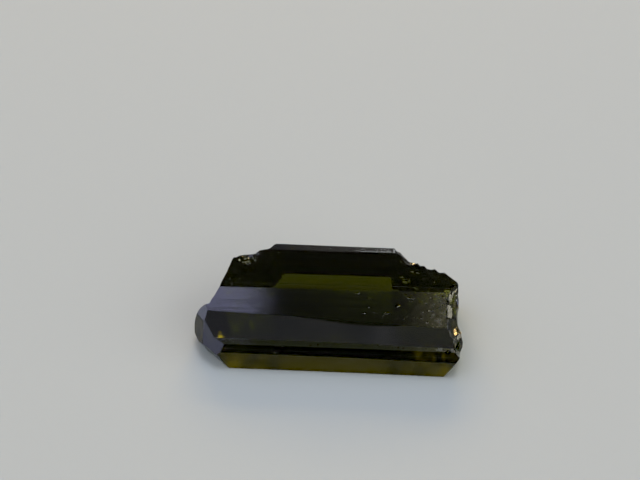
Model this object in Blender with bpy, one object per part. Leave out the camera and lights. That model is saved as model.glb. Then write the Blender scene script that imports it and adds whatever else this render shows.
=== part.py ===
"""A gem tourmaline crystal: one striated prism lying on a face, with both ends broken.

The prism runs along X. Its cross-section is walked face by face from the front
ledge down to the base, up to the ridge and down the back, and the two ends are cut by fracture
surfaces. Lengths are in millimetres here and metres in the scene.
"""

import math

import bmesh
import bpy
from mathutils import Matrix, Vector, noise

MM = 0.001

# Cross-section, looking along X with +Y away from the front. Each face is
# (tilt of its outward normal from straight up, towards the front, in degrees;
#  width in mm; number of growth terraces on it). The front band under the ledge
# has a width for each station, and the wall under it stands straight.
LEDGE_FRONT_Y = -5.85
FRONT_BAND = (60.0, 1)
FRONT_WALL_TERRACES = 2
UPPER_FRONT = (60.0, 3.45, 6)
CROWN = (30.0, 0.47, 1)
BELT_Z = 1.51
BACK_TERRACES = 6
BACK_FOOT_TERRACES = 2

LEDGE_Z = 2.47
TERRACE_Z = 3.60
TERRACE_DEPTH = 0.035

# The edges drift a little along the prism. At each station: x, the width of the
# front band, the y of the ledge's inner edge, of the terrace's front edge and of
# its back edge, the width of the sliver facet under the front edge, and what the
# upper front and the crown gain in width.
STATIONS = (
    (-14.0, 0.75, -5.05, -2.56, 0.64, 0.02, 0.18, 0.19),
    (-2.1, 0.79, -5.13, -3.22, 0.79, 0.02, 0.08, 0.09),
    (2.1, 0.81, -5.18, -3.52, 0.83, 0.34, 0.05, 0.05),
    (4.6, 0.85, -5.22, -3.72, 0.85, 0.26, 0.03, 0.03),
    (7.2, 0.90, -5.29, -3.93, 0.87, 0.02, 0.02, 0.01),
    (14.0, 1.02, -5.46, -4.09, 0.93, 0.02, -0.02, -0.04),
)

# Breaks: a point on each, its outward normal, and how rough it is (mm).
LEFT_END = ((-10.48, -1.44, 3.60), (-0.90, 0.18, 0.37), 0.07)
LEFT_FACET = ((-9.75, -5.04, 2.50), (-0.50, -0.63, 0.60), 0.0)
LEFT_RIM_HIGH = ((-10.60, -3.40, 3.40), (-0.67, -0.22, 0.71), 0.0)
LEFT_RIM_LOW = ((-10.80, -3.80, 3.00), (-0.83, -0.40, 0.383), 0.0)
LEFT_RIM_FOOT = ((-11.38, -4.00, 1.08), (-0.784, -0.407, -0.468), 0.0)
LEFT_UNDERCUT = ((-9.41, -6.25, 1.51), (-0.615, -0.664, -0.425), 0.04)
LEFT_BACK_WALL = ((-4.92, 3.03, 6.89), (-0.622, 0.711, 0.328), 0.16)
LEFT_BACK_FLOOR = ((-7.00, 2.42, 6.12), (-0.26, 0.87, 0.41), 0.20)
RIGHT_END = ((11.87, -2.00, 2.80), (0.985, -0.005, 0.14), 0.12)
RIGHT_CORNER = ((11.14, 1.90, 4.48), (0.60, 0.489, 0.633), 0.06)
RIGHT_UNDERCUT = ((11.43, -6.25, 1.75), (0.845, -0.247, -0.474), 0.05)
RIGHT_BACK_WALL = ((6.45, 3.03, 6.89), (0.905, 0.415, 0.09), 0.16)
RIGHT_BACK_FLOOR = ((9.00, 2.05, 5.60), (0.32, 0.86, 0.40), 0.24)

# The rounded lobe that the left break leaves standing: centre, radii.
LEFT_LOBE = ((-10.06, -3.10, 2.20), (2.02, 2.00, 2.00))

# Scoops of shell-like fracture, four along the right end, one in the right back
# notch and one on the left break's upper rim: centre, radii.
SCOOPS = (
    ((11.85, -2.90, 4.00), (1.40, 4.60, 1.35)),
    ((12.60, -5.30, 3.40), (1.60, 2.20, 1.90)),
    ((13.05, -1.50, 2.20), (1.50, 3.40, 2.80)),
    ((13.25, 1.40, 0.30), (1.50, 3.00, 2.20)),
    ((7.50, 2.70, 6.30), (0.85, 0.80, 0.90)),
    ((-7.40, 2.15, 6.55), (1.10, 0.70, 0.60)),
)

# Small pits and nicks: centre, radius.
PITS = (
    ((5.35, -2.35, 3.64), 0.20),
    ((6.35, -1.25, 3.63), 0.17),
    ((9.20, -1.80, 3.64), 0.19),
    ((2.70, 0.35, 3.64), 0.15),
    ((7.70, -0.10, 3.63), 0.12),
    ((8.30, -2.90, 3.63), 0.13),
    ((3.70, -1.60, 3.62), 0.10),
    ((-3.60, -5.84, 2.50), 0.13),
    ((-4.30, -6.16, 2.00), 0.12),
    ((10.60, -5.74, 2.54), 0.22),
    ((1.80, 2.75, 6.68), 0.13),
    ((-3.40, 2.70, 6.66), 0.12),
    ((-9.90, -5.35, 2.35), 0.12),
)


def clear_scene():
    for item in list(bpy.data.objects):
        bpy.data.objects.remove(item)


def new_collection(name, hidden):
    collection = bpy.data.collections.new(name)
    bpy.context.scene.collection.children.link(collection)
    collection.hide_render = hidden
    return collection


def along(start, tilt, width):
    """The far edge of a face of this tilt and width, as (y, z)."""
    angle = math.radians(tilt)
    return (start[0] + width * math.cos(angle), start[1] + width * math.sin(angle))


def terraced(start, end, count):
    """Points after start, up to end, with count low growth steps between them."""
    run = Vector((end[0] - start[0], end[1] - start[1]))
    inward = Vector((run.y, -run.x)).normalized()
    points = []
    for index in range(count):
        at = (index + 0.62 + 0.21 * math.sin(2.7 * index)) / (count + 0.35)
        edge = Vector(start) + run * at
        foot = edge + run.normalized() * 0.03
        depth = TERRACE_DEPTH * (0.7 + 0.3 * math.sin(5.1 * index + 1.0))
        points.append(tuple(edge))
        points.append(tuple(foot + inward * depth))
    points.append(tuple(end))
    return points


def cross_section(band, ledge_y, terrace_y, back_y, sliver, more_front, more_crown):
    """The closed outline at one station, as (y, z) from the front foot round."""
    steep = math.sin(math.radians(60.0))
    ledge_front = (LEDGE_FRONT_Y, LEDGE_Z)
    belt_front = along(ledge_front, FRONT_BAND[0], -band)
    foot = (belt_front[0], 0.0)
    ledge_inner = (ledge_y, LEDGE_Z)
    terrace_front = (terrace_y, TERRACE_Z)
    sliver_foot = along(terrace_front, 57.0, -sliver)
    terrace_back = (back_y, TERRACE_Z)
    crown_front = along(terrace_back, UPPER_FRONT[0], UPPER_FRONT[1] + more_front)
    ridge = along(crown_front, CROWN[0], CROWN[1] + more_crown)
    belt_back = along(ridge, -60.0, (ridge[1] - BELT_Z) / steep)
    back_foot = along(belt_back, -120.0, BELT_Z / steep)
    outline = [foot]
    outline += terraced(foot, belt_front, FRONT_WALL_TERRACES)
    outline += terraced(belt_front, ledge_front, FRONT_BAND[1])
    outline += [ledge_inner, sliver_foot, terrace_front, terrace_back]
    outline += terraced(terrace_back, crown_front, UPPER_FRONT[2])
    outline += terraced(crown_front, ridge, CROWN[2])
    outline += terraced(ridge, belt_back, BACK_TERRACES)
    outline += terraced(belt_back, back_foot, BACK_FOOT_TERRACES)
    return outline


def prism_mesh():
    """The whole prism before it broke, lofted through the stations."""
    mesh = bmesh.new()
    rings = []
    for x, *drift in STATIONS:
        outline = cross_section(*drift)
        rings.append([mesh.verts.new((x * MM, y * MM, z * MM)) for y, z in outline])
    for near, far in zip(rings, rings[1:]):
        for index in range(len(near)):
            after = (index + 1) % len(near)
            mesh.faces.new((near[index], near[after], far[after], far[index]))
    mesh.faces.new(rings[0])
    mesh.faces.new(rings[-1])
    bmesh.ops.recalc_face_normals(mesh, faces=mesh.faces)
    return mesh


def mesh_object(name, mesh, collection):
    if mesh.calc_volume(signed=True) < 0:
        bmesh.ops.reverse_faces(mesh, faces=mesh.faces)
    data = bpy.data.meshes.new(name)
    mesh.to_mesh(data)
    mesh.free()
    item = bpy.data.objects.new(name, data)
    collection.objects.link(item)
    return item


def hackle(point, rough):
    """How far a rough break stands out at a point: flakes plus fine grain."""
    flakes = noise.voronoi(point / 1.1)[0][0] - 0.35
    waves = noise.noise(point / 2.6)
    grain = noise.noise(point / 0.45)
    return rough * (1.3 * flakes + 1.4 * waves + 0.35 * grain)


def break_block(name, place, cutters, size=17.0, deep=9.0, cell=0.42):
    """A block standing on a break: everything outside that surface."""
    point, normal, rough = place
    turn = Vector(normal).to_track_quat("Z", "Y").to_matrix().to_4x4()
    cuts = int(size / cell) if rough else 1
    mesh = bmesh.new()
    bmesh.ops.create_grid(mesh, x_segments=cuts, y_segments=cuts, size=size / 2 * MM)
    swept = bmesh.ops.extrude_face_region(mesh, geom=mesh.faces[:])
    top = [item for item in swept["geom"] if isinstance(item, bmesh.types.BMVert)]
    bmesh.ops.translate(mesh, verts=top, vec=(0, 0, deep * MM))
    mesh.transform(Matrix.Translation(Vector(point) * MM) @ turn)
    if rough:
        lifted = set(top)
        direction = Vector(normal).normalized()
        for vert in mesh.verts:
            if vert not in lifted:
                vert.co += direction * hackle(vert.co / MM, rough) * MM
    bmesh.ops.recalc_face_normals(mesh, faces=mesh.faces)
    return mesh_object(name, mesh, cutters)


def ball(name, centre, radii, cutters, detail=3):
    mesh = bmesh.new()
    bmesh.ops.create_icosphere(mesh, subdivisions=detail, radius=1.0)
    for vert in mesh.verts:
        swell = 1.0 + 0.06 * noise.noise(vert.co * 2.0 + Vector(centre))
        vert.co = vert.co * swell
        vert.co = Vector(a * r for a, r in zip(vert.co, radii)) + Vector(centre)
        vert.co *= MM
    return mesh_object(name, mesh, cutters)


def boolean(target, cutter, operation):
    cutter.display_type = "WIRE"
    cutter.hide_render = True
    modifier = target.modifiers.new(cutter.name, "BOOLEAN")
    modifier.operation = operation
    modifier.solver = "EXACT"
    modifier.object = cutter


def notch(name, wall, floor, cutters):
    """A corner broken out: outside its wall and outside its floor at once."""
    block = break_block(name + "_floor", floor, cutters)
    side = break_block(name + "_wall", wall, cutters)
    boolean(block, side, "INTERSECT")
    return block


def material():
    stone = bpy.data.materials.new("green_tourmaline")
    stone.use_nodes = True
    surface = stone.node_tree.nodes["Principled BSDF"]
    surface.inputs["Base Color"].default_value = (0.16, 0.19, 0.03, 1.0)
    surface.inputs["Roughness"].default_value = 0.06
    surface.inputs["IOR"].default_value = 1.63
    surface.inputs["Transmission Weight"].default_value = 0.9
    return stone


def centre_on_base(crystal):
    """Puts the middle of the finished crystal's base box at the origin."""
    bpy.context.view_layer.update()
    graph = bpy.context.evaluated_depsgraph_get()
    spots = [vert.co.copy() for vert in crystal.evaluated_get(graph).data.vertices]
    low = Vector(min(spot[axis] for spot in spots) for axis in range(3))
    high = Vector(max(spot[axis] for spot in spots) for axis in range(3))
    shift = Vector((-(low.x + high.x) / 2, -(low.y + high.y) / 2, -low.z))
    for item in bpy.data.objects:
        item.data.transform(Matrix.Translation(shift))


def build():
    clear_scene()
    parts = new_collection("tourmaline", False)
    cutters = new_collection("breaks", True)
    crystal = mesh_object("tourmaline_crystal", prism_mesh(), parts)
    crystal.data.materials.append(material())
    single = {
        "left_facet": LEFT_FACET,
        "left_rim_high": LEFT_RIM_HIGH,
        "left_rim_low": LEFT_RIM_LOW,
        "left_rim_foot": LEFT_RIM_FOOT,
        "left_undercut": LEFT_UNDERCUT,
        "right_end": RIGHT_END,
        "right_corner": RIGHT_CORNER,
        "right_undercut": RIGHT_UNDERCUT,
    }
    for name, place in single.items():
        boolean(crystal, break_block(name, place, cutters), "DIFFERENCE")
    end = break_block("left_end", LEFT_END, cutters)
    boolean(end, ball("left_lobe", *LEFT_LOBE, cutters, 4), "DIFFERENCE")
    boolean(crystal, end, "DIFFERENCE")
    left = notch("left_back", LEFT_BACK_WALL, LEFT_BACK_FLOOR, cutters)
    boolean(crystal, left, "DIFFERENCE")
    right = notch("right_back", RIGHT_BACK_WALL, RIGHT_BACK_FLOOR, cutters)
    boolean(crystal, right, "DIFFERENCE")
    for index, (centre, radii) in enumerate(SCOOPS):
        scoop = ball(f"scoop_{index}", centre, radii, cutters)
        boolean(crystal, scoop, "DIFFERENCE")
    for index, (centre, radius) in enumerate(PITS):
        pit = ball(f"pit_{index}", centre, (radius * 1.5, radius, radius), cutters, 1)
        boolean(crystal, pit, "DIFFERENCE")
    centre_on_base(crystal)


build()
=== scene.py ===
# %% [markdown]
# # A broken length of green tourmaline
#
# Tourmaline grows as a prism with flat, finely striated sides, and breaks with rough,
# shell-like ends. This lesson grows the prism from its cross-section, breaks its ends with
# Boolean cutters, and gives it a stone that is clear but so deeply coloured that only thin
# or straight-through paths let light out.
#
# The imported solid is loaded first. It fixes where the crystal lies and how big it is.

# %% The frame
import math
import time

import bmesh
import bpy
from mathutils import Matrix, Quaternion, Vector, noise


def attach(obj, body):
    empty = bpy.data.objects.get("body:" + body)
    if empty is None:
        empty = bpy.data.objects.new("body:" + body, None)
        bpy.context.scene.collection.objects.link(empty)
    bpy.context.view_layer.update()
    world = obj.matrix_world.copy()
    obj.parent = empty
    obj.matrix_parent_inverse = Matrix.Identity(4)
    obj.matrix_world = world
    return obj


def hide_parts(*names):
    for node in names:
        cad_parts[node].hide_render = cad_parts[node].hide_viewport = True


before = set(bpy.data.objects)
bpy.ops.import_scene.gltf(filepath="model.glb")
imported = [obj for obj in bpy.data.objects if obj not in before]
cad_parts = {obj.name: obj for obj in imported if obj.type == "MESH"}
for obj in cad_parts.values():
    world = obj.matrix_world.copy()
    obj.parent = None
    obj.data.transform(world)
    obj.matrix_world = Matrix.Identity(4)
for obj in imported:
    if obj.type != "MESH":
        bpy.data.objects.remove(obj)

MM = 0.001
started = time.time()
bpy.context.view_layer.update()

# %% [markdown]
# ## The cross-section
#
# Each side of the prism is a crystal face at a fixed angle to its neighbours: 30 or 60
# degrees. So the outline is not drawn but walked, one face after another, by tilt and
# width. A tilt of 0 is a face that looks straight up, 60 one that looks up and forward,
# and the lowest front face stands upright. The front climbs in two steps, because the
# crystal grew as parallel blades: a thin ledge low down and a broad terrace half-way up.

# %% Walking the outline
LEDGE_FRONT_Y = -5.85
UPPER_FRONT = (60.0, 3.45)
CROWN = (30.0, 0.47)
BELT_Z = 1.51
LEDGE_Z = 2.47
TERRACE_Z = 3.60
# x, width of the front band, y of the ledge's inner edge, of the terrace's front edge
# and of its back edge, width of the sliver facet, what the two upper faces gain
STATIONS = (
    (-14.0, 0.75, -5.05, -2.56, 0.64, 0.02, 0.18, 0.19),
    (-2.1, 0.79, -5.13, -3.22, 0.79, 0.02, 0.08, 0.09),
    (2.1, 0.81, -5.18, -3.52, 0.83, 0.34, 0.05, 0.05),
    (4.6, 0.85, -5.22, -3.72, 0.85, 0.26, 0.03, 0.03),
    (7.2, 0.90, -5.29, -3.93, 0.87, 0.02, 0.02, 0.01),
    (14.0, 1.02, -5.46, -4.09, 0.93, 0.02, -0.02, -0.04),
)


def along(start, tilt, width):
    angle = math.radians(tilt)
    return (start[0] + width * math.cos(angle), start[1] + width * math.sin(angle))


def corners(band, ledge_y, terrace_y, back_y, sliver, more_front, more_crown):
    """The corners of the outline as (y, z), from the front foot up and round."""
    steep = math.sin(math.radians(60.0))
    ledge_front = (LEDGE_FRONT_Y, LEDGE_Z)
    belt_front = along(ledge_front, 60.0, -band)
    foot = (belt_front[0], 0.0)
    terrace_front = (terrace_y, TERRACE_Z)
    sliver_foot = along(terrace_front, 57.0, -sliver)
    terrace_back = (back_y, TERRACE_Z)
    crown_front = along(terrace_back, UPPER_FRONT[0], UPPER_FRONT[1] + more_front)
    ridge = along(crown_front, CROWN[0], CROWN[1] + more_crown)
    belt_back = along(ridge, -60.0, (ridge[1] - BELT_Z) / steep)
    back_foot = along(belt_back, -120.0, BELT_Z / steep)
    return [foot, belt_front, ledge_front, (ledge_y, LEDGE_Z), sliver_foot,
            terrace_front, terrace_back, crown_front, ridge, belt_back, back_foot]


for point in corners(*STATIONS[2][1:]):
    print("corner y %.2f z %.2f" % point)

# %% [markdown]
# ## Growth steps
#
# A tourmaline face is never one plane. Thin layers stop short of the edge and leave steps
# a few hundredths of a millimetre high that run the whole length. They are put into the
# outline as a saw-tooth: the face climbs a little, then drops at the end of a layer.

# %% Steps on a face
STEP_HEIGHT, STEP_NOSE = 0.012, 0.03
# how many steps each stretch of the outline carries, from the front foot up and round
STEPS_ON = (0, 1, 0, 0, 0, 0, 5, 0, 5, 2)
STRIP = 0.11


def stepped(start, end, count):
    """Points after start up to end, with count growth steps unevenly between them."""
    run = Vector((end[0] - start[0], end[1] - start[1]))
    inward = Vector((run.y, -run.x)).normalized()
    points = []
    for index in range(count):
        at = (index + 0.62 + 0.21 * math.sin(2.7 * index)) / (count + 0.35)
        edge = Vector(start) + run * at
        depth = STEP_HEIGHT * (0.7 + 0.3 * math.sin(5.1 * index + 1.0))
        points.append(tuple(edge))
        points.append(tuple(edge + run.normalized() * STEP_NOSE + inward * depth))
    points.append(tuple(end))
    return points


def outline(drift):
    sharp = corners(*drift)
    points = [sharp[0]]
    for start, end, count in zip(sharp, sharp[1:], STEPS_ON):
        points += stepped(start, end, count)
    return points


def drift_at(x):
    """The drifting edges at any place along the prism."""
    for near, far in zip(STATIONS, STATIONS[1:]):
        if x <= far[0]:
            share = (x - near[0]) / (far[0] - near[0])
            return [a + (b - a) * share for a, b in zip(near[1:], far[1:])]
    return list(STATIONS[-1][1:])


def strips(points, counts):
    """The outline cut finer: counts pieces on each stretch."""
    fine = [points[0]]
    for start, end, count in zip(points, points[1:], counts):
        for piece in range(1, count + 1):
            share = piece / count
            fine.append(tuple(a + (b - a) * share for a, b in zip(start, end)))
    return fine


middle = outline(drift_at(0.0))
COUNTS = [max(1, round(math.dist(a, b) / STRIP)) for a, b in zip(middle, middle[1:])]
print(len(middle), "outline points,", sum(COUNTS) + 1, "after cutting finer")

# %% [markdown]
# ## The unbroken prism
#
# The rings are joined into one long skin. Stations every 1.4 mm let the fine striae come
# and go along the length, where a plain extrusion would make them all run from end to end.

# %% Joining the rings
GREW_FROM, GREW_TO, RING_GAP = -14.0, 14.0, 1.4


def closed_mesh(name, mesh):
    """A mesh object in the scene, with its faces pointing outwards."""
    bmesh.ops.recalc_face_normals(mesh, faces=mesh.faces)
    if mesh.calc_volume(signed=True) < 0:
        bmesh.ops.reverse_faces(mesh, faces=mesh.faces)
    data = bpy.data.meshes.new(name)
    mesh.to_mesh(data)
    mesh.free()
    item = bpy.data.objects.new(name, data)
    bpy.context.scene.collection.objects.link(item)
    return item


def grow_prism():
    mesh = bmesh.new()
    rings = []
    count = round((GREW_TO - GREW_FROM) / RING_GAP) + 1
    for index in range(count):
        x = GREW_FROM + index * RING_GAP
        points = strips(outline(drift_at(x)), COUNTS)
        rings.append([mesh.verts.new((x * MM, y * MM, z * MM)) for y, z in points])
    for near, far in zip(rings, rings[1:]):
        for index in range(len(near)):
            after = (index + 1) % len(near)
            mesh.faces.new((near[index], near[after], far[after], far[index]))
    mesh.faces.new(rings[0])
    mesh.faces.new(rings[-1])
    return closed_mesh("tourmaline", mesh)


crystal = grow_prism()
print("prism faces:", len(crystal.data.polygons))

# %% [markdown]
# ## Striae
#
# Between the growth steps every face carries much finer lines. They follow one rule, so
# they are made with Geometry Nodes: a noise that is stretched along the prism moves each
# point of the skin in or out by a few thousandths of a millimetre. The face that the
# crystal rests on is left out, so that it still lies flat.

# %% A small kit for node trees


def node_tree(name, sizes):
    """A tree with a geometry in and out, a named input per size, and its material."""
    tree = bpy.data.node_groups.new(name, "GeometryNodeTree")
    geometry = "NodeSocketGeometry"
    tree.interface.new_socket("Geometry", in_out="INPUT", socket_type=geometry)
    tree.interface.new_socket("Geometry", in_out="OUTPUT", socket_type=geometry)
    for label, kind, value in [*sizes, ("Stone", "NodeSocketMaterial", None)]:
        socket = tree.interface.new_socket(label, in_out="INPUT", socket_type=kind)
        socket.default_value = value
    inward = tree.nodes.new("NodeGroupInput")
    outward = tree.nodes.new("NodeGroupOutput")
    return tree, inward, outward


def wire(tree, source, target):
    tree.links.new(source, target)


def close_tree(tree, inward, outward, made):
    """Ends a tree: every copy made real, and the material set."""
    real = tree.nodes.new("GeometryNodeRealizeInstances")
    wire(tree, made, real.inputs[0])
    paint = tree.nodes.new("GeometryNodeSetMaterial")
    wire(tree, real.outputs[0], paint.inputs["Geometry"])
    wire(tree, inward.outputs["Stone"], paint.inputs["Material"])
    wire(tree, paint.outputs[0], outward.inputs["Geometry"])


def maths(tree, operation, *values):
    """A Math node whose inputs are numbers or sockets."""
    node = tree.nodes.new("ShaderNodeMath")
    node.operation = operation
    for socket, value in zip(node.inputs, values):
        if isinstance(value, (int, float)):
            socket.default_value = value
        else:
            wire(tree, value, socket)
    return node.outputs[0]


def vector_maths(tree, operation, *values):
    node = tree.nodes.new("ShaderNodeVectorMath")
    node.operation = operation
    for socket, value in zip(node.inputs, values):
        if isinstance(value, (tuple, list, Vector)):
            socket.default_value = value
        else:
            wire(tree, value, socket)
    return node


def run_tree(item, tree, **sizes):
    """Puts the tree on an object, with its sizes set by socket identifier."""
    modifier = item.modifiers.new(tree.name, "NODES")
    modifier.node_group = tree
    for socket in tree.interface.items_tree:
        key = socket.name.replace(" ", "_")
        if socket.in_out == "INPUT" and key in sizes:
            modifier[socket.identifier] = sizes[key]
    return modifier


def baked(item):
    """Replaces an object's mesh by what its modifiers make, and drops them."""
    bpy.context.view_layer.update()
    graph = bpy.context.evaluated_depsgraph_get()
    data = bpy.data.meshes.new_from_object(item.evaluated_get(graph))
    item.modifiers.clear()
    item.data = data
    return item


# %% The striae tree
FACES_DOWN = -0.85


def striae_tree():
    tree, inward, outward = node_tree("striae", [
        ("Depth", "NodeSocketFloat", 0.00001),
        ("Lines", "NodeSocketFloat", 4000.0),
        ("Drift", "NodeSocketFloat", 90.0),
        ("Seed", "NodeSocketFloat", 0.0),
    ])
    place = tree.nodes.new("GeometryNodeInputPosition")
    parts = tree.nodes.new("ShaderNodeSeparateXYZ")
    wire(tree, place.outputs[0], parts.inputs[0])
    stretched = tree.nodes.new("ShaderNodeCombineXYZ")
    for axis, size in enumerate(("Drift", "Lines", "Lines")):
        scaled = maths(tree, "MULTIPLY", parts.outputs[axis], inward.outputs[size])
        wire(tree, scaled, stretched.inputs[axis])
    lines = tree.nodes.new("ShaderNodeTexNoise")
    lines.noise_dimensions = "4D"
    lines.inputs["Scale"].default_value = 1.0
    lines.inputs["Detail"].default_value = 3.0
    wire(tree, stretched.outputs[0], lines.inputs["Vector"])
    wire(tree, inward.outputs["Seed"], lines.inputs["W"])
    centred = maths(tree, "SUBTRACT", lines.outputs[0], 0.5)
    depth = maths(tree, "MULTIPLY", centred, inward.outputs["Depth"])
    normal = tree.nodes.new("GeometryNodeInputNormal")
    push = vector_maths(tree, "SCALE", normal.outputs[0])
    wire(tree, depth, push.inputs["Scale"])
    up = tree.nodes.new("ShaderNodeSeparateXYZ")
    wire(tree, normal.outputs[0], up.inputs[0])
    not_under = maths(tree, "GREATER_THAN", up.outputs[2], FACES_DOWN)
    move = tree.nodes.new("GeometryNodeSetPosition")
    wire(tree, inward.outputs["Geometry"], move.inputs["Geometry"])
    wire(tree, not_under, move.inputs["Selection"])
    wire(tree, push.outputs[0], move.inputs["Offset"])
    close_tree(tree, inward, outward, move.outputs[0])
    return tree


skin = bpy.data.materials.new("grown_face")
fresh = bpy.data.materials.new("fresh_break")
run_tree(crystal, striae_tree(), Depth=0.000010, Lines=4200.0, Drift=70.0, Seed=3.0,
         Stone=skin)
baked(crystal)
print("striated prism:", len(crystal.data.vertices), "points")

# %% [markdown]
# ## Breaks
#
# Tourmaline has no good cleavage, so it snaps along curved, hackly surfaces. Each break
# is a block with one rough side that is taken away from the prism. The large waves of the
# rough side are worked out point by point; the small flakes on it come from a Geometry
# Nodes tree that pushes a marked side along the break's own normal.

# %% The breaks
# each break: a point on it, the way it faces, and how rough it is, in millimetres
LEFT_FACET = ((-9.75, -5.04, 2.50), (-0.50, -0.63, 0.60), 0.0)
LEFT_RIM_HIGH = ((-10.60, -3.40, 3.40), (-0.67, -0.22, 0.71), 0.0)
LEFT_RIM_LOW = ((-10.80, -3.80, 3.00), (-0.83, -0.40, 0.383), 0.0)
LEFT_RIM_FOOT = ((-11.38, -4.00, 1.08), (-0.784, -0.407, -0.468), 0.0)
LEFT_UNDERCUT = ((-9.41, -6.25, 1.51), (-0.615, -0.664, -0.425), 0.04)
LEFT_END = ((-10.48, -1.44, 3.60), (-0.90, 0.18, 0.37), 0.07)
LEFT_BACK_WALL = ((-4.92, 3.03, 6.89), (-0.622, 0.711, 0.328), 0.16)
LEFT_BACK_FLOOR = ((-7.00, 2.42, 6.12), (-0.26, 0.87, 0.41), 0.20)
RIGHT_END = ((11.87, -2.00, 2.80), (0.985, -0.005, 0.14), 0.12)
RIGHT_CORNER = ((11.14, 1.90, 4.48), (0.60, 0.489, 0.633), 0.06)
RIGHT_UNDERCUT = ((11.43, -6.25, 1.75), (0.845, -0.247, -0.474), 0.05)
RIGHT_BACK_WALL = ((6.45, 3.03, 6.89), (0.905, 0.415, 0.09), 0.16)
RIGHT_BACK_FLOOR = ((9.00, 2.05, 5.60), (0.32, 0.86, 0.40), 0.24)
# the lobe that stays on the left, and hollows: the middle and the three radii of each
LEFT_LOBE = ((-10.06, -3.10, 2.20), (2.02, 2.00, 2.00))
SCOOPS = (
    ((11.85, -2.90, 4.00), (1.40, 4.60, 1.35)),
    ((12.60, -5.30, 3.40), (1.60, 2.20, 1.90)),
    ((13.05, -1.50, 2.20), (1.50, 3.40, 2.80)),
    ((13.25, 1.40, 0.30), (1.50, 3.00, 2.20)),
    ((7.50, 2.70, 6.30), (0.85, 0.80, 0.90)),
    ((-7.40, 2.15, 6.55), (1.10, 0.70, 0.60)),
    ((6.91, 3.26, 6.99), (1.00, 1.00, 1.00)),
)
FLAKE, FLAKE_CELL = 0.32, 0.14
SHELL_SIZE, WAVE_SIZE, GRAIN_SIZE = 1.1, 2.6, 0.45
UNEVEN = 0.06


def hackle(point, rough):
    """How far a rough break stands out at a point: shells, waves and grain."""
    shells = noise.voronoi(point / SHELL_SIZE)[0][0] - 0.35
    waves = noise.noise(point / WAVE_SIZE)
    grain = noise.noise(point / GRAIN_SIZE)
    return rough * (1.3 * shells + 1.4 * waves + 0.35 * grain)


def hackle_tree():
    tree, inward, outward = node_tree("hackle", [
        ("Height", "NodeSocketFloat", 0.00004),
        ("Flake", "NodeSocketFloat", 0.0006),
        ("Seed", "NodeSocketFloat", 0.0),
        ("Outwards", "NodeSocketVector", (0.0, 0.0, 1.0)),
    ])
    place = tree.nodes.new("GeometryNodeInputPosition")
    per_metre = maths(tree, "DIVIDE", 1.0, inward.outputs["Flake"])
    scaled = vector_maths(tree, "SCALE", place.outputs[0])
    wire(tree, per_metre, scaled.inputs["Scale"])
    flakes = tree.nodes.new("ShaderNodeTexVoronoi")
    flakes.voronoi_dimensions = "4D"
    flakes.inputs["Scale"].default_value = 1.0
    wire(tree, scaled.outputs[0], flakes.inputs["Vector"])
    wire(tree, inward.outputs["Seed"], flakes.inputs["W"])
    crumbs = tree.nodes.new("ShaderNodeTexNoise")
    crumbs.inputs["Scale"].default_value = 2.6
    crumbs.inputs["Detail"].default_value = 3.0
    wire(tree, scaled.outputs[0], crumbs.inputs["Vector"])
    both = maths(tree, "ADD", flakes.outputs["Distance"], crumbs.outputs[0])
    centred = maths(tree, "SUBTRACT", both, 1.0)
    height = maths(tree, "MULTIPLY", centred, inward.outputs["Height"])
    push = vector_maths(tree, "SCALE", inward.outputs["Outwards"])
    wire(tree, height, push.inputs["Scale"])
    marked = tree.nodes.new("GeometryNodeInputNamedAttribute")
    marked.data_type = "FLOAT"
    marked.inputs["Name"].default_value = "rough_side"
    chosen = maths(tree, "GREATER_THAN", marked.outputs[0], 0.5)
    move = tree.nodes.new("GeometryNodeSetPosition")
    wire(tree, inward.outputs["Geometry"], move.inputs["Geometry"])
    wire(tree, chosen, move.inputs["Selection"])
    wire(tree, push.outputs[0], move.inputs["Offset"])
    close_tree(tree, inward, outward, move.outputs[0])
    return tree


HACKLE = hackle_tree()


def mark_side(item, chosen):
    """Marks the chosen points, for the tree to move."""
    mark = item.data.attributes.new("rough_side", "FLOAT", "POINT")
    mark.data.foreach_set("value", [float(flag) for flag in chosen])


def break_block(name, place, seed=0.0, flakes=0.9, size=15.0, deep=7.0):
    """Everything outside a break, as a block with its inner side rough."""
    point, normal, rough = place
    turn = Vector(normal).to_track_quat("Z", "Y").to_matrix().to_4x4()
    cuts = int(size / FLAKE_CELL) if rough else 1
    mesh = bmesh.new()
    bmesh.ops.create_grid(mesh, x_segments=cuts, y_segments=cuts, size=size / 2 * MM)
    swept = bmesh.ops.extrude_face_region(mesh, geom=mesh.faces[:])
    far = [item for item in swept["geom"] if isinstance(item, bmesh.types.BMVert)]
    bmesh.ops.translate(mesh, verts=far, vec=(0, 0, deep * MM))
    mesh.transform(Matrix.Translation(Vector(point) * MM) @ turn)
    direction = Vector(normal).normalized()
    far = set(far)
    near = [vert not in far for vert in mesh.verts]
    if rough:
        for vert, moves in zip(mesh.verts, near):
            if moves:
                vert.co += direction * hackle(vert.co / MM, rough) * MM
    block = closed_mesh(name, mesh)
    if rough:
        mark_side(block, near)
        run_tree(block, HACKLE, Height=rough * flakes * MM, Flake=FLAKE * MM,
                 Seed=seed, Outwards=tuple(direction), Stone=fresh)
        baked(block)
    return block


def ball(name, centre, radii, detail=4):
    """A slightly uneven ball, stretched to three radii."""
    mesh = bmesh.new()
    bmesh.ops.create_icosphere(mesh, subdivisions=detail, radius=1.0)
    for vert in mesh.verts:
        swell = 1.0 + UNEVEN * noise.noise(vert.co * 2.0 + Vector(centre))
        vert.co = vert.co * swell
        vert.co = Vector(a * r for a, r in zip(vert.co, radii)) + Vector(centre)
        vert.co *= MM
    return closed_mesh(name, mesh)


def boolean(target, cutter, operation):
    modifier = target.modifiers.new(cutter.name, "BOOLEAN")
    modifier.operation = operation
    modifier.solver = "MANIFOLD"
    modifier.object = cutter
    baked(target)
    bpy.data.objects.remove(cutter)


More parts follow.
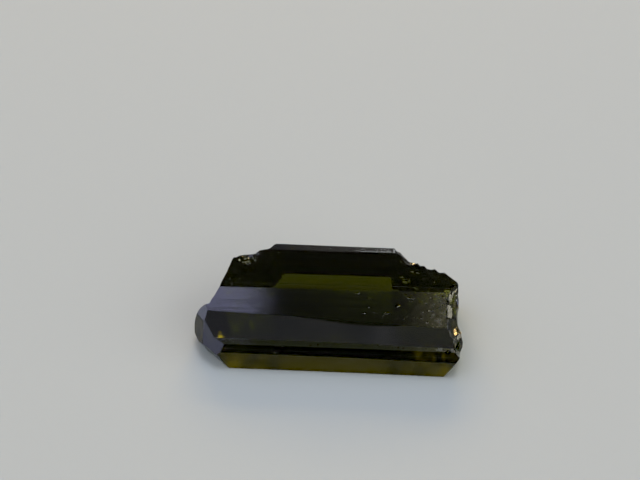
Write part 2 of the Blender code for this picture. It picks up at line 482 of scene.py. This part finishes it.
# %% Breaking the ends
END_FLAKES, LEFT_FLAKES, RIGHT_FLAKES = 0.50, 0.60, 0.55


def take(cutter, marks_break=True):
    """Cuts a block out of the crystal and remembers which faces are broken."""
    cutter.data.materials.clear()
    cutter.data.materials.append(fresh if marks_break else skin)
    boolean(crystal, cutter, "DIFFERENCE")
    print("%.1f s, %d faces" % (time.time() - started, len(crystal.data.polygons)))


take(break_block("left_facet", LEFT_FACET), False)
take(break_block("left_rim_high", LEFT_RIM_HIGH), False)
take(break_block("left_rim_low", LEFT_RIM_LOW), False)
take(break_block("left_rim_foot", LEFT_RIM_FOOT), False)
take(break_block("left_undercut", LEFT_UNDERCUT, 1.0))
take(break_block("right_end", RIGHT_END, 2.0, END_FLAKES))
take(break_block("right_corner", RIGHT_CORNER, 7.0, END_FLAKES))
take(break_block("right_undercut", RIGHT_UNDERCUT, 3.0))

end = break_block("left_end", LEFT_END, 4.0)
boolean(end, ball("left_lobe", *LEFT_LOBE), "DIFFERENCE")
take(end)
for side, wall, floor, flakes in (
    ("left", LEFT_BACK_WALL, LEFT_BACK_FLOOR, LEFT_FLAKES),
    ("right", RIGHT_BACK_WALL, RIGHT_BACK_FLOOR, RIGHT_FLAKES),
):
    corner = break_block(side + "_back_floor", floor, 5.0, flakes)
    boolean(corner, break_block(side + "_back_wall", wall, 6.0), "INTERSECT")
    take(corner)
for index, (centre, radii) in enumerate(SCOOPS):
    take(ball("scoop_%d" % index, centre, radii))

# %% [markdown]
# ## Pits
#
# The broad terrace was etched a little before the crystal was found, and small pits are
# scattered over its right half, thick near the end and thin towards the middle. They
# repeat, so a Geometry Nodes tree scatters small lumpy stones over a strip that lies on
# the terrace, each turned and sized at random from one seed, and the crystal loses them.

# %% Scattering the pits
# name, x from and to, y from and to, height, pits on a square millimetre, seed
PIT_STRIPS = (
    ("terrace_right", (6.2, 10.6), (-3.4, 0.5), TERRACE_Z, 1.35, 11),
    ("terrace_middle", (1.0, 6.0), (-3.0, 0.4), TERRACE_Z, 0.55, 5),
    ("ledge", (-8.5, 9.5), (-5.78, -5.25), LEDGE_Z, 1.1, 3),
)
PIT_APART, PIT_SIZE = 0.42, 0.105
POINTS_ON_A_STONE = 42


def pit_tree():
    tree, inward, outward = node_tree("pits", [
        ("Per_area", "NodeSocketFloat", 1000000.0),
        ("Apart", "NodeSocketFloat", 0.0004),
        ("Size", "NodeSocketFloat", 0.0001),
        ("Seed", "NodeSocketInt", 0),
    ])
    scatter = tree.nodes.new("GeometryNodeDistributePointsOnFaces")
    scatter.distribute_method = "POISSON"
    wire(tree, inward.outputs["Geometry"], scatter.inputs["Mesh"])
    wire(tree, inward.outputs["Apart"], scatter.inputs["Distance Min"])
    wire(tree, inward.outputs["Per_area"], scatter.inputs["Density Max"])
    wire(tree, inward.outputs["Seed"], scatter.inputs["Seed"])
    stone = tree.nodes.new("GeometryNodeMeshIcoSphere")
    stone.inputs["Radius"].default_value = 1.0
    stone.inputs["Subdivisions"].default_value = 2
    size = tree.nodes.new("FunctionNodeRandomValue")
    size.data_type = "FLOAT"
    size.inputs[2].default_value = 0.35
    size.inputs[3].default_value = 1.3
    wire(tree, inward.outputs["Seed"], size.inputs["Seed"])
    scaled = maths(tree, "MULTIPLY", size.outputs[1], inward.outputs["Size"])
    stretched = vector_maths(tree, "SCALE", (1.5, 0.9, 0.8))
    wire(tree, scaled, stretched.inputs["Scale"])
    turn = tree.nodes.new("FunctionNodeRandomValue")
    turn.data_type = "FLOAT_VECTOR"
    turn.inputs[0].default_value = (-0.3, -0.3, -0.6)
    turn.inputs[1].default_value = (0.3, 0.3, 0.6)
    wire(tree, inward.outputs["Seed"], turn.inputs["Seed"])
    place = tree.nodes.new("GeometryNodeInstanceOnPoints")
    wire(tree, scatter.outputs["Points"], place.inputs["Points"])
    wire(tree, stone.outputs["Mesh"], place.inputs["Instance"])
    wire(tree, stretched.outputs[0], place.inputs["Scale"])
    wire(tree, turn.outputs[0], place.inputs["Rotation"])
    close_tree(tree, inward, outward, place.outputs[0])
    return tree


PITS = pit_tree()


def scattered(name, across, deep, height, per_area, seed):
    """The pit cutters of one strip, as one mesh of many small stones."""
    mesh = bmesh.new()
    low, high = Vector((across[0], deep[0])), Vector((across[1], deep[1]))
    spots = [(low.x, low.y), (high.x, low.y), (high.x, high.y), (low.x, high.y)]
    mesh.faces.new([mesh.verts.new((x * MM, y * MM, height * MM)) for x, y in spots])
    data = bpy.data.meshes.new(name)
    mesh.to_mesh(data)
    mesh.free()
    strip = bpy.data.objects.new(name, data)
    bpy.context.scene.collection.objects.link(strip)
    run_tree(strip, PITS, Per_area=per_area / MM ** 2, Apart=PIT_APART * MM,
             Size=PIT_SIZE * MM, Seed=seed, Stone=fresh)
    return baked(strip)


for name, across, deep, height, per_area, seed in PIT_STRIPS:
    cutter = scattered(name, across, deep, height, per_area, seed)
    print(name, len(cutter.data.vertices) // POINTS_ON_A_STONE, "pits")
    boolean(crystal, cutter, "DIFFERENCE")

# %% [markdown]
# ## Single pits and the chipped edge
#
# A few larger pits lie alone, each at a place of its own, as middle and radius in
# millimetres. A short row of chips takes the sharpness off the left end of the top edge.
# Their depth and size swing with two sines, so that no two neighbours are alike.

# %% Single pits and chips
LONE_PITS = (
    ((5.35, -2.35, 3.64), 0.20),
    ((6.35, -1.25, 3.63), 0.17),
    ((9.20, -1.80, 3.64), 0.19),
    ((2.70, 0.35, 3.64), 0.15),
    ((7.70, -0.10, 3.63), 0.12),
    ((8.30, -2.90, 3.63), 0.13),
    ((3.70, -1.60, 3.62), 0.10),
    ((-3.60, -5.84, 2.50), 0.13),
    ((-4.30, -6.16, 2.00), 0.12),
    ((10.60, -5.74, 2.54), 0.22),
    ((1.80, 2.75, 6.68), 0.13),
    ((-3.40, 2.70, 6.66), 0.12),
    ((-9.90, -5.35, 2.35), 0.12),
)
for index, (centre, radius) in enumerate(LONE_PITS):
    take(ball("pit_%d" % index, centre, (radius * 1.5, radius, radius), 2))

CHIPS = 9
CHIP_FROM, CHIP_TO = Vector((-7.65, 1.89, 5.62)), Vector((-6.56, 2.27, 6.29))
CHIP_OUTWARDS = Vector((0.0, 0.5, 0.866))
CHIP_RADIUS, CHIP_DEPTH = 0.13, 0.10
for index in range(CHIPS):
    spot = CHIP_FROM.lerp(CHIP_TO, index / (CHIPS - 1))
    spot += CHIP_OUTWARDS * (0.22 * math.sin(5.0 * index) - CHIP_DEPTH)
    radius = CHIP_RADIUS + 0.05 * math.sin(3.3 * index + 1.0)
    take(ball("chip_%d" % index, spot, (radius * 1.3, radius, radius), 1))
print(len(LONE_PITS), "single pits and", CHIPS, "chips along the top edge")

# %% [markdown]
# ## Into place
#
# The cross-section was walked from its own corner. The finished crystal is moved so that
# the middle of its base box is the origin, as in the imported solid, and the faces that a
# cutter made are marked, so that the stone's finish can tell a break from a grown face.
# The level faces carry fine steps that all look the same way, so they mirror a higher part
# of the room than a flat face would, and are marked with that lean. The lowest front face
# and the end facet are marked with a slight frost.

# %% Placing and marking
LEAN, LEDGE_LEAN = math.tan(math.radians(10.5)), math.tan(math.radians(11.3))
WALL_FROST, FACET_FROST = 0.30, 0.05
LEVEL, UPRIGHT, SAME_WAY = 0.98, 0.97, 0.99
HEIGHT_SLACK, WALL_TOP = 0.03, 1.8
PLACE = Vector((-0.1078, 0.0755, 0.0)) * MM
crystal.data.transform(Matrix.Translation(PLACE))
names = [material.name if material else "" for material in crystal.data.materials]
print("material slots after the cuts:", names)
broken = [names[face.material_index].startswith("fresh") for face in crystal.data.polygons]
mark = crystal.data.attributes.new("broken", "FLOAT", "FACE")
mark.data.foreach_set("value", [float(flag) for flag in broken])
print(sum(broken), "of", len(broken), "faces are broken surface")
leans = []
for face, is_broken in zip(crystal.data.polygons, broken):
    level = face.normal.z > LEVEL and not is_broken
    on_terrace = level and abs(face.center.z / MM - TERRACE_Z) < HEIGHT_SLACK
    on_ledge = level and abs(face.center.z / MM - LEDGE_Z) < HEIGHT_SLACK
    leans.append(LEAN if on_terrace else LEDGE_LEAN if on_ledge else 0.0)
crystal.data.attributes.new("lean", "FLOAT", "FACE").data.foreach_set("value", leans)
print(sum(lean > 0 for lean in leans), "faces lie level and lean in their fine steps")
facet_way = Vector(LEFT_FACET[1]).normalized()
frosts = []
for face, is_broken in zip(crystal.data.polygons, broken):
    wall = face.normal.y < -UPRIGHT and face.center.z / MM < WALL_TOP
    facet = face.normal.dot(facet_way) > SAME_WAY
    frost = WALL_FROST if wall else FACET_FROST if facet else 0.0
    frosts.append(0.0 if is_broken else frost)
crystal.data.attributes.new("frost", "FLOAT", "FACE").data.foreach_set("value", frosts)
print(sum(frost > 0 for frost in frosts), "faces are frosted")

# %% [markdown]
# ## Smooth waves, sharp edges
#
# Growth steps, edges and flakes stay crisp, while the gentle swell inside one shell of a
# break is shaded smooth. An angle decides which is which.

# %% Smooth where it is gentle
SHARP_ABOVE = math.radians(17.0)
crystal.data.shade_smooth()
crystal.data.set_sharp_from_angle(angle=SHARP_ABOVE)
crystal.data.update()

# %% [markdown]
# ## The stone
#
# The colour of a tourmaline is in its depth, not on its skin. So the stone has no surface
# colour: it lets light through, bends it by 1.63, and a volume absorbs blue strongly and
# red and green about equally. A thin edge glows olive, and the thick middle goes black.
# The skin adds only polish: fine lines along the prism, a haze of etching that thickens to
# the right of the terrace, the frost, and shells on the broken right end. Each shell is one
# cell that is flat and tilted its own way, so a sharp step runs along every border.

# %% The stone's material
BENDING = 1.63
ABSORBED = (0.510, 0.496, 1.30)
POLISH, ETCH, BREAK_GRIT = 0.03, 0.36, 0.22
SHELL_TILT = 0.9
# how often each pattern repeats in a metre
LINES_EACH_WAY = (60.0, 9000.0, 9000.0)
WAVES_EACH_WAY = (380.0, 1300.0, 1300.0)
CRUMBS, SPOTS, SHELLS = 5200.0, 2200.0, 1050.0
# where along the prism the etching and the shells of the right end come in
ETCHED_FROM, ETCHED_TO = 4.5 * MM, 12.5 * MM
SHELLS_FROM, SHELLS_TO = 8.5 * MM, 10.5 * MM
WAVE_HEIGHT, RELIEF = 0.000006, 0.000012


def shader(tree, kind, **settings):
    """A node of a material, with its plain values set by socket name."""
    node = tree.nodes.new(kind)
    for label, value in settings.items():
        node.inputs[label.replace("_", " ")].default_value = value
    return node


def blended(tree, share, low, high):
    """low where share is 0 and high where it is 1, each a number or a socket."""
    node = tree.nodes.new("ShaderNodeMix")
    wire(tree, share, node.inputs[0])
    for socket, value in ((node.inputs[2], low), (node.inputs[3], high)):
        if isinstance(value, (int, float)):
            socket.default_value = value
        else:
            wire(tree, value, socket)
    return node.outputs[0]


def ramp(tree, value, start, end, low=0.0, high=1.0):
    """value spread from low to high between start and end, with soft ends."""
    node = tree.nodes.new("ShaderNodeMapRange")
    node.interpolation_type = "SMOOTHSTEP"
    wire(tree, value, node.inputs[0])
    for socket, number in zip(node.inputs[1:5], (start, end, low, high)):
        socket.default_value = number
    return node.outputs[0]


def stone():
    material = bpy.data.materials.new("green_tourmaline")
    material.use_nodes = True
    tree = material.node_tree
    tree.nodes.clear()
    output = tree.nodes.new("ShaderNodeOutputMaterial")
    body = tree.nodes.new("ShaderNodeBsdfPrincipled")
    body.inputs["Base Color"].default_value = (1.0, 1.0, 1.0, 1.0)
    body.inputs["Transmission Weight"].default_value = 1.0
    body.inputs["IOR"].default_value = BENDING
    wire(tree, body.outputs[0], output.inputs["Surface"])

    depth = tree.nodes.new("ShaderNodeVolumeAbsorption")
    strongest = max(ABSORBED)  # per millimetre
    tint = [1.0 - value / strongest for value in ABSORBED]
    depth.inputs["Color"].default_value = (*tint, 1.0)
    depth.inputs["Density"].default_value = strongest / MM
    wire(tree, depth.outputs[0], output.inputs["Volume"])

    place = tree.nodes.new("ShaderNodeTexCoord").outputs["Object"]
    broken = tree.nodes.new("ShaderNodeAttribute")
    broken.attribute_name = "broken"
    broken = broken.outputs["Fac"]

    lines_at = vector_maths(tree, "MULTIPLY", place, LINES_EACH_WAY).outputs[0]
    lines = shader(tree, "ShaderNodeTexNoise", Scale=1.0, Detail=3.0, Roughness=0.6)
    wire(tree, lines_at, lines.inputs["Vector"])
    waves_at = vector_maths(tree, "MULTIPLY", place, WAVES_EACH_WAY).outputs[0]
    waves = shader(tree, "ShaderNodeTexNoise", Scale=1.0, Detail=2.0, Roughness=0.5)
    wire(tree, waves_at, waves.inputs["Vector"])
    crumbs = shader(tree, "ShaderNodeTexNoise", Scale=CRUMBS, Detail=5.0, Roughness=0.6)
    wire(tree, place, crumbs.inputs["Vector"])

    parts = tree.nodes.new("ShaderNodeSeparateXYZ")
    wire(tree, place, parts.inputs[0])
    spots = shader(tree, "ShaderNodeTexNoise", Scale=SPOTS, Detail=3.0, Roughness=0.6)
    wire(tree, place, spots.inputs["Vector"])
    lean = tree.nodes.new("ShaderNodeAttribute")
    lean.attribute_name = "lean"
    to_right = ramp(tree, parts.outputs[0], ETCHED_FROM, ETCHED_TO, 0.0, 0.33)
    spotted = maths(tree, "ADD", spots.outputs[0], to_right)
    level = maths(tree, "GREATER_THAN", lean.outputs["Fac"], 0.01)
    haze = maths(tree, "MULTIPLY", ramp(tree, spotted, 0.62, 0.95, 0.0, ETCH), level)
    polished = ramp(tree, lines.outputs[0], 0.3, 0.7, POLISH * 0.6, POLISH * 1.4)
    streaked = maths(tree, "ADD", polished, haze)
    gritty = ramp(tree, crumbs.outputs[0], 0.35, 0.70, 0.06, BREAK_GRIT)
    frost = tree.nodes.new("ShaderNodeAttribute")
    frost.attribute_name = "frost"
    frosted = maths(tree, "ADD", streaked, frost.outputs["Fac"])
    wire(tree, blended(tree, broken, frosted, gritty), body.inputs["Roughness"])

    grain = ramp(tree, parts.outputs[0], SHELLS_FROM, SHELLS_TO, 3.0, 0.9)
    rough_relief = maths(tree, "MULTIPLY", crumbs.outputs[0], grain)
    relief = blended(tree, broken, lines.outputs[0], rough_relief)
    slope = maths(tree, "MULTIPLY", lean.outputs["Fac"], parts.outputs[1])
    leaning = shader(tree, "ShaderNodeBump", Strength=1.0, Distance=1.0)
    shells = shader(tree, "ShaderNodeTexVoronoi", Scale=SHELLS)
    wire(tree, place, shells.inputs["Vector"])
    at_right = ramp(tree, parts.outputs[0], SHELLS_FROM, SHELLS_TO, 0.0, SHELL_TILT)
    tilt = vector_maths(tree, "SUBTRACT", shells.outputs["Color"], (0.5, 0.5, 0.5))
    across = vector_maths(tree, "SUBTRACT", place, shells.outputs["Position"])
    tilted = vector_maths(tree, "DOT_PRODUCT", tilt.outputs[0], across.outputs[0])
    chipped = maths(tree, "MULTIPLY", tilted.outputs["Value"], at_right)
    swell = maths(tree, "MULTIPLY", waves.outputs[0], WAVE_HEIGHT)
    grown = maths(tree, "ADD", slope, swell)
    wire(tree, blended(tree, broken, grown, chipped), leaning.inputs["Height"])
    bump = shader(tree, "ShaderNodeBump", Strength=0.35, Distance=RELIEF)
    wire(tree, leaning.outputs[0], bump.inputs["Normal"])
    wire(tree, relief, bump.inputs["Height"])
    wire(tree, bump.outputs[0], body.inputs["Normal"])
    return material


crystal.data.materials.clear()
crystal.data.materials.append(stone())
crystal.name = "tourmaline"
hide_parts("tourmaline_crystal")
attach(crystal, "root")

# %% [markdown]
# ## The table and the light
#
# The crystal lies on a plain pale table. A clear dark stone shows only what it mirrors and
# what shines through it, so the light is a bright, even room with soft panels added at set
# directions: a cool one behind on the left, which fills the left of the terrace, a cool one
# low on the left for the end facet, a grey one behind on the right and a pale one low on
# the right for the broken end, a warm strip low at the back, which shines through to the
# lowest front face, and a soft ceiling. One small lamp overhead gives a tight shadow and
# the glints.

# %% The table
TABLE_TONE = (0.294, 0.320, 0.350, 1.0)
TABLE_SIZE, TABLE_GAP = 1.2, 0.00003
mesh = bmesh.new()
bmesh.ops.create_grid(mesh, x_segments=1, y_segments=1, size=TABLE_SIZE / 2)
mesh.transform(Matrix.Translation((0.0, 0.0, -TABLE_GAP)))
data = bpy.data.meshes.new("table")
mesh.to_mesh(data)
mesh.free()
table = bpy.data.objects.new("table", data)
bpy.context.scene.collection.objects.link(table)
paper = bpy.data.materials.new("pale_table")
paper.use_nodes = True
finish = paper.node_tree.nodes["Principled BSDF"].inputs
finish["Base Color"].default_value = TABLE_TONE
finish["Roughness"].default_value = 0.9
finish["Specular IOR Level"].default_value = 0.1
data.materials.append(paper)

# %% The panels
# name: azimuth, half its width, elevation from and to, soft edges, colour, brightness
# Azimuth 0 is straight behind the crystal and 90 to its right.
PANELS = {
    "cool_back": (-26.9, 13.5, 42.0, 61.3, 0.6, (0.60, 0.62, 1.0), 2.15),
    "cool_left": (-92.0, 42.0, 0.0, 34.0, 4.0, (0.64, 0.68, 1.0), 1.1),
    "grey_right": (36.0, 27.0, 42.0, 66.0, 4.0, (1.0, 0.93, 0.55), 0.74),
    "pale_right": (116.0, 44.0, 2.0, 38.0, 4.0, (1.0, 0.96, 0.80), 3.3),
    "warm_back": (-4.0, 21.0, 17.0, 28.0, 1.5, (1.0, 0.68, 0.26), 24.0),
    "back_high": (0.0, 14.0, 50.0, 62.0, 2.0, (1.0, 0.92, 1.2), 0.03),
    "room_front": (180.0, 70.0, 19.0, 36.0, 1.5, (1.0, 1.0, 0.6), 0.06),
    "fill_left": (-115.0, 45.0, 36.0, 62.0, 5.0, (0.94, 0.97, 1.0), 1.8),
    "ceiling_front": (180.0, 88.0, 50.0, 70.0, 4.0, (0.97, 0.98, 1.0), 0.25),
    "ceiling": (0.0, 400.0, 66.0, 120.0, 4.0, (0.96, 0.98, 1.10), 0.25),
    "above": (170.0, 40.0, 80.0, 120.0, 2.5, (1.0, 0.88, 0.66), 0.24),
}
SURROUND_BRIGHT = 0.375


def shone(tree, share, colour, bright):
    """A colour that is bright where share is 1 and black where it is 0."""
    node = vector_maths(tree, "SCALE", [channel * bright for channel in colour])
    wire(tree, share, node.inputs["Scale"])
    return node.outputs[0]


def panel_share(tree, turn, rise, centre, half, low, high, soft):
    """1 inside a panel, 0 outside it, from the azimuth and elevation of a direction."""
    away = maths(tree, "WRAP", maths(tree, "SUBTRACT", turn, centre), -180.0, 180.0)
    away = maths(tree, "ABSOLUTE", away)
    across = ramp(tree, away, half - soft, half + soft, 1.0, 0.0)
    above = ramp(tree, rise, low - soft, low + soft)
    below = ramp(tree, rise, high - soft, high + soft, 1.0, 0.0)
    return maths(tree, "MULTIPLY", across, maths(tree, "MULTIPLY", above, below))


def studio():
    world = bpy.data.worlds.new("studio")
    world.use_nodes = True
    tree = world.node_tree
    tree.nodes.clear()
    output = tree.nodes.new("ShaderNodeOutputWorld")
    way = tree.nodes.new("ShaderNodeTexCoord").outputs["Generated"]
    parts = tree.nodes.new("ShaderNodeSeparateXYZ")
    wire(tree, way, parts.inputs[0])
    turn = maths(tree, "ARCTAN2", parts.outputs[0], parts.outputs[1])
    turn = maths(tree, "DEGREES", turn)
    rise = maths(tree, "DEGREES", maths(tree, "ARCSINE", parts.outputs[2]))
    total = vector_maths(tree, "ADD", (0, 0, 0), [SURROUND_BRIGHT] * 3).outputs[0]
    for centre, half, low, high, soft, colour, bright in PANELS.values():
        share = panel_share(tree, turn, rise, centre, half, low, high, soft)
        light = shone(tree, share, colour, bright)
        total = vector_maths(tree, "ADD", total, light).outputs[0]
    background = tree.nodes.new("ShaderNodeBackground")
    wire(tree, total, background.inputs["Color"])
    wire(tree, background.outputs[0], output.inputs["Surface"])
    bpy.context.scene.world = world


studio()
print(len(PANELS), "panels")

# %% The lamp
LAMP_TURN, LAMP_RISE, LAMP_FAR, LAMP_SIZE, LAMP_POWER = 45.0, 82.0, 0.9, 0.32, 2.5
LAMP_COLOUR = (0.93, 0.98, 1.0)


def lamp(name, turn, rise, far, size, power, colour):
    light = bpy.data.lights.new(name, "AREA")
    light.shape = "DISK"
    light.size = size
    light.energy = power
    light.color = colour
    item = bpy.data.objects.new(name, light)
    turn, rise = math.radians(turn), math.radians(rise)
    way = Vector((math.sin(turn) * math.cos(rise), math.cos(turn) * math.cos(rise),
                  math.sin(rise)))
    item.location = way * far
    item.rotation_euler = (-way).to_track_quat("-Z", "Y").to_euler()
    bpy.context.scene.collection.objects.link(item)
    return item


lamp("key", LAMP_TURN, LAMP_RISE, LAMP_FAR, LAMP_SIZE, LAMP_POWER, LAMP_COLOUR)

# %% [markdown]
# ## The camera
#
# It looks down at 40 degrees from about 80 mm, slightly from the right. The darkest tones
# are pressed a little further down, as a camera does with a black stone on a pale table.

# %% The camera
CAMERA_AT = Vector((3.156, -62.201, 54.129)) * MM
LOOKS_AT = Vector((-0.108, 0.0755, 1.80)) * MM
HALF_VIEW = math.radians(20.0)
PIXELS_WIDE = 640.0
AIM_DOWN, AIM_ACROSS = 70.0, 8.0
sight = bpy.data.cameras.new("camera")
sight.sensor_width = 36.0
sight.lens = 18.0 / math.tan(HALF_VIEW)
sight.clip_start = 0.001
focal = PIXELS_WIDE / 2 / math.tan(HALF_VIEW)
viewer = bpy.data.objects.new("camera", sight)
viewer.location = CAMERA_AT
viewer.rotation_mode = "QUATERNION"
viewer.rotation_quaternion = (
    (LOOKS_AT - CAMERA_AT).to_track_quat("-Z", "Y")
    @ Quaternion((1, 0, 0), math.atan(AIM_DOWN / focal))
    @ Quaternion((0, 1, 0), math.atan(AIM_ACROSS / focal))
)
bpy.context.scene.collection.objects.link(viewer)
bpy.context.scene.camera = viewer
BLACK = 0.022
look = bpy.context.scene.view_settings
look.view_transform = "Standard"
look.use_curve_mapping = True
look.curve_mapping.black_level = (BLACK, BLACK, BLACK)
look.curve_mapping.update()
